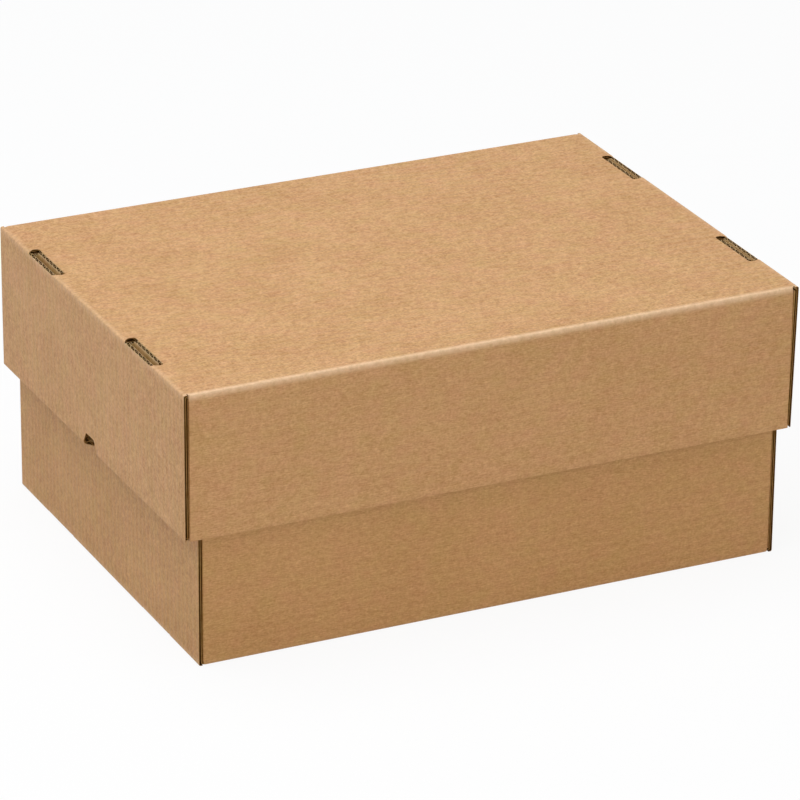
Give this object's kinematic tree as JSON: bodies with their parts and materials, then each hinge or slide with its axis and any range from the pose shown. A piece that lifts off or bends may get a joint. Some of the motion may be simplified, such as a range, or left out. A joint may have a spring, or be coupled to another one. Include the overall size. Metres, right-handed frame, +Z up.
{
  "type": "closed two-piece cardboard box",
  "caption": "Closed cardboard box: a folded tray base with doubled end walls, under a lift-off lid folded the same way.",
  "frame": {"origin": "centre of the base's underside, on the surface that the box stands on", "axes": "+X along the length, +Y across the width towards the back, +Z up"},
  "size_m": [0.438, 0.312, 0.1909],
  "materials": {
    "board": "uncoated brown kraft corrugated board, matt"
  },
  "bodies": {
    "base": {"base": "board"},
    "lid": {"lid": "board"}
  },
  "joints": [
    {"name": "lid_lift", "type": "slide", "parent": "base", "child": "lid", "axis": [0, 0, 1], "range_m": [0, 0.12]}
  ]
}
